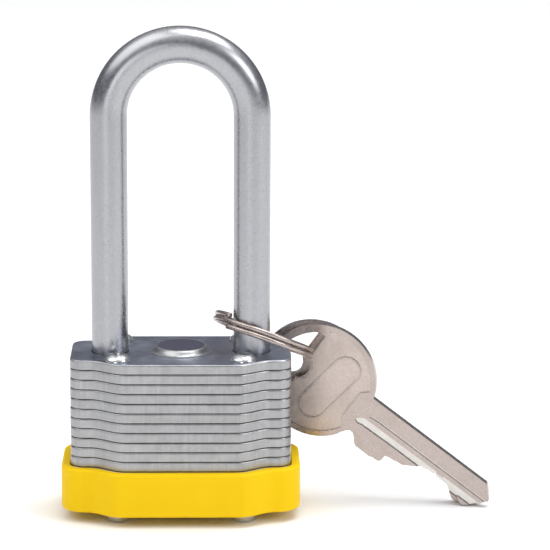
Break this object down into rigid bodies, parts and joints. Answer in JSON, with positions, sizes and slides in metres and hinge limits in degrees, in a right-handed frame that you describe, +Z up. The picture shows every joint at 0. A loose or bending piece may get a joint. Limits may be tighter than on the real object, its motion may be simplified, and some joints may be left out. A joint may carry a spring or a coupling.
{
  "type": "safety padlock",
  "caption": "Laminated steel padlock with a long round shackle, a moulded plastic bumper at the base, and keys on a split ring round one leg.",
  "frame": {"origin": "centre of the flat cap on top of the lock body, midway between the shackle's legs", "axes": "+Z up along the shackle's legs, +X to the right towards the leg that carries the keys, +Y to the rear"},
  "size_m": [0.0767, 0.0253, 0.0872],
  "materials": {
    "plate_steel": "satin plated, blanked edges",
    "shackle_steel": "satin plated",
    "rivet_steel": "bright",
    "cap_steel": "dark pressed steel",
    "inner_steel": "plain",
    "spring_steel": "drawn wire",
    "cylinder_brass": "machined",
    "key_nickel": "nickel plated, satin",
    "bumper_plastic": "moulded, satin gloss"
  },
  "bodies": {
    "lock_body": {"plate_01": "plate_steel", "plate_02": "plate_steel", "plate_03": "plate_steel", "plate_04": "plate_steel", "plate_05": "plate_steel", "plate_06": "plate_steel", "plate_07": "plate_steel", "plate_08": "plate_steel", "plate_09": "plate_steel", "plate_10": "plate_steel", "plate_11": "plate_steel", "plate_12": "plate_steel", "plate_13": "plate_steel", "plate_14": "plate_steel", "plate_15": "plate_steel", "rivet_front_left": "rivet_steel", "rivet_front_right": "rivet_steel", "rivet_rear_left": "rivet_steel", "rivet_rear_right": "rivet_steel", "bumper": "bumper_plastic", "top_cap": "cap_steel", "cylinder_housing": "cylinder_brass", "pin_chamber_cover": "cylinder_brass", "heel_retaining_pin": "inner_steel", "shackle_spring": "spring_steel", "dog_spring": "spring_steel", "pin_spring_1": "spring_steel", "pin_spring_2": "spring_steel", "pin_spring_3": "spring_steel", "pin_spring_4": "spring_steel"},
    "shackle": {"shackle": "shackle_steel"},
    "plug": {"plug": "cylinder_brass", "actuator": "inner_steel"},
    "left_dog": {"left_locking_dog": "inner_steel"},
    "right_dog": {"right_locking_dog": "inner_steel"},
    "ring": {"split_ring": "key_nickel"},
    "front_key": {"front_key": "key_nickel"},
    "rear_key": {"rear_key": "key_nickel"},
    "key_pin_1": {"key_pin_1": "cylinder_brass"},
    "driver_pin_1": {"driver_pin_1": "inner_steel"},
    "key_pin_2": {"key_pin_2": "cylinder_brass"},
    "driver_pin_2": {"driver_pin_2": "inner_steel"},
    "key_pin_3": {"key_pin_3": "cylinder_brass"},
    "driver_pin_3": {"driver_pin_3": "inner_steel"},
    "key_pin_4": {"key_pin_4": "cylinder_brass"},
    "driver_pin_4": {"driver_pin_4": "inner_steel"}
  },
  "joints": [
    {"name": "shackle_rise", "type": "slide", "parent": "lock_body", "child": "shackle", "axis": [0, 0, 1], "range_m": [0, 0.0086], "deforming": ["shackle_spring"]},
    {"name": "plug_turn", "type": "hinge", "parent": "lock_body", "child": "plug", "pos_m": [0, 0, -0.015], "axis": [0, 0, 1], "range_deg": [0, 90]},
    {"name": "left_dog_slide", "type": "slide", "parent": "lock_body", "child": "left_dog", "axis": [1, 0, 0], "range_m": [0, 0.0038], "deforming": ["dog_spring"]},
    {"name": "right_dog_slide", "type": "slide", "parent": "lock_body", "child": "right_dog", "axis": [-1, 0, 0], "range_m": [0, 0.0038], "deforming": ["dog_spring"]},
    {"name": "key_pin_1_slide", "type": "slide", "parent": "plug", "child": "key_pin_1", "axis": [1, 0, 0], "range_m": [0, 0.0009]},
    {"name": "key_pin_2_slide", "type": "slide", "parent": "plug", "child": "key_pin_2", "axis": [1, 0, 0], "range_m": [0, 0.0009]},
    {"name": "key_pin_3_slide", "type": "slide", "parent": "plug", "child": "key_pin_3", "axis": [1, 0, 0], "range_m": [0, 0.0009]},
    {"name": "key_pin_4_slide", "type": "slide", "parent": "plug", "child": "key_pin_4", "axis": [1, 0, 0], "range_m": [0, 0.0009]},
    {"name": "driver_pin_1_slide", "type": "slide", "parent": "lock_body", "child": "driver_pin_1", "axis": [-1, 0, 0], "range_m": [0, 0.0009], "stiffness_N_per_m": 60, "springref_m": -0.002, "deforming": ["pin_spring_1"]},
    {"name": "driver_pin_2_slide", "type": "slide", "parent": "lock_body", "child": "driver_pin_2", "axis": [-1, 0, 0], "range_m": [0, 0.0009], "stiffness_N_per_m": 60, "springref_m": -0.002, "deforming": ["pin_spring_2"]},
    {"name": "driver_pin_3_slide", "type": "slide", "parent": "lock_body", "child": "driver_pin_3", "axis": [-1, 0, 0], "range_m": [0, 0.0009], "stiffness_N_per_m": 60, "springref_m": -0.002, "deforming": ["pin_spring_3"]},
    {"name": "driver_pin_4_slide", "type": "slide", "parent": "lock_body", "child": "driver_pin_4", "axis": [-1, 0, 0], "range_m": [0, 0.0009], "stiffness_N_per_m": 60, "springref_m": -0.002, "deforming": ["pin_spring_4"]},
    {"name": "ring_lift", "type": "slide", "parent": "shackle", "child": "ring", "axis": [0, 0, 1], "range_m": [0, 0.03]},
    {"name": "front_key_swing", "type": "hinge", "parent": "ring", "child": "front_key", "pos_m": [0.0219, 0.00735, -0.00293], "axis": [-0.2079, -0.9781, 0], "range_deg": [0, 60]},
    {"name": "rear_key_swing", "type": "hinge", "parent": "ring", "child": "rear_key", "pos_m": [0.02042, 0.00943, -0.00296], "axis": [-0.2079, -0.9781, 0], "range_deg": [0, 20]}
  ],
  "couplings": [
    {"joint": "plug_turn", "follows": "shackle_rise", "rad_per_m": 182.64},
    {"joint": "left_dog_slide", "follows": "shackle_rise", "ratio": 0.4418},
    {"joint": "right_dog_slide", "follows": "shackle_rise", "ratio": 0.4418}
  ]
}
